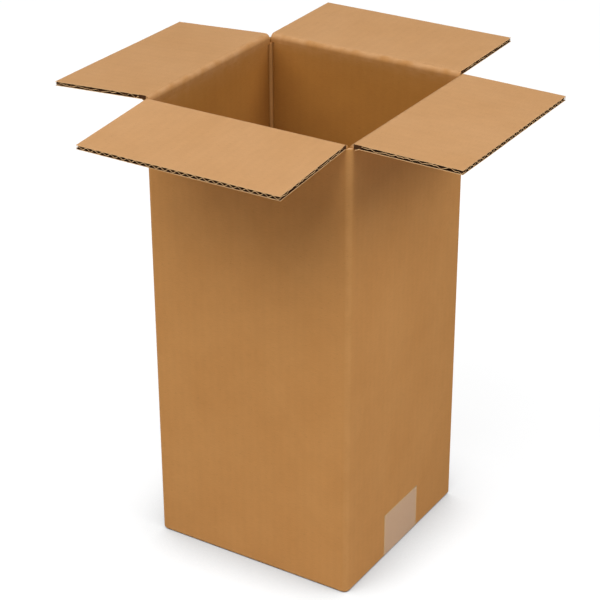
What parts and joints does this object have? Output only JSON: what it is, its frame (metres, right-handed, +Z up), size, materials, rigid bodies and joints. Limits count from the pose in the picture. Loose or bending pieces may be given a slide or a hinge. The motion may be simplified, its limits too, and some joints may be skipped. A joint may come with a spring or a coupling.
{
  "type": "open cardboard box",
  "caption": "Tall open shipping carton of brown corrugated board with its top flaps folded outwards and its bottom flaps taped shut.",
  "frame": {"origin": "on the floor, under the middle of the carton with its flaps open", "axes": "+Z up; -Y is the wide wall that faces the viewer on the left of the picture, +X the narrow wall on its right, with the end of the tape"},
  "size_m": [0.3135, 0.3074, 0.343],
  "materials": {
    "kraft_board": "matt unprinted brown kraft liner",
    "clear_tape": "clear film, soft gloss"
  },
  "bodies": {
    "carton": {"carton_body": "kraft_board", "bottom_tape": "clear_tape"},
    "front_flap": {"front_flap": "kraft_board"},
    "back_flap": {"back_flap": "kraft_board"},
    "left_flap": {"left_flap": "kraft_board"},
    "right_flap": {"right_flap": "kraft_board"}
  },
  "joints": [
    {"name": "front_flap_fold", "type": "hinge", "parent": "carton", "child": "front_flap", "pos_m": [0, -0.077, 0.3385], "axis": [-1, 0, 0], "range_deg": [-85.3, 184.7]},
    {"name": "back_flap_fold", "type": "hinge", "parent": "carton", "child": "back_flap", "pos_m": [0, 0.077, 0.3385], "axis": [1, 0, 0], "range_deg": [-91, 179]},
    {"name": "left_flap_fold", "type": "hinge", "parent": "carton", "child": "left_flap", "pos_m": [-0.08, 0, 0.3369], "axis": [0, 1, 0], "range_deg": [-86.3, 183.7]},
    {"name": "right_flap_fold", "type": "hinge", "parent": "carton", "child": "right_flap", "pos_m": [0.08, 0, 0.3369], "axis": [0, -1, 0], "range_deg": [-89.4, 180.6]}
  ]
}
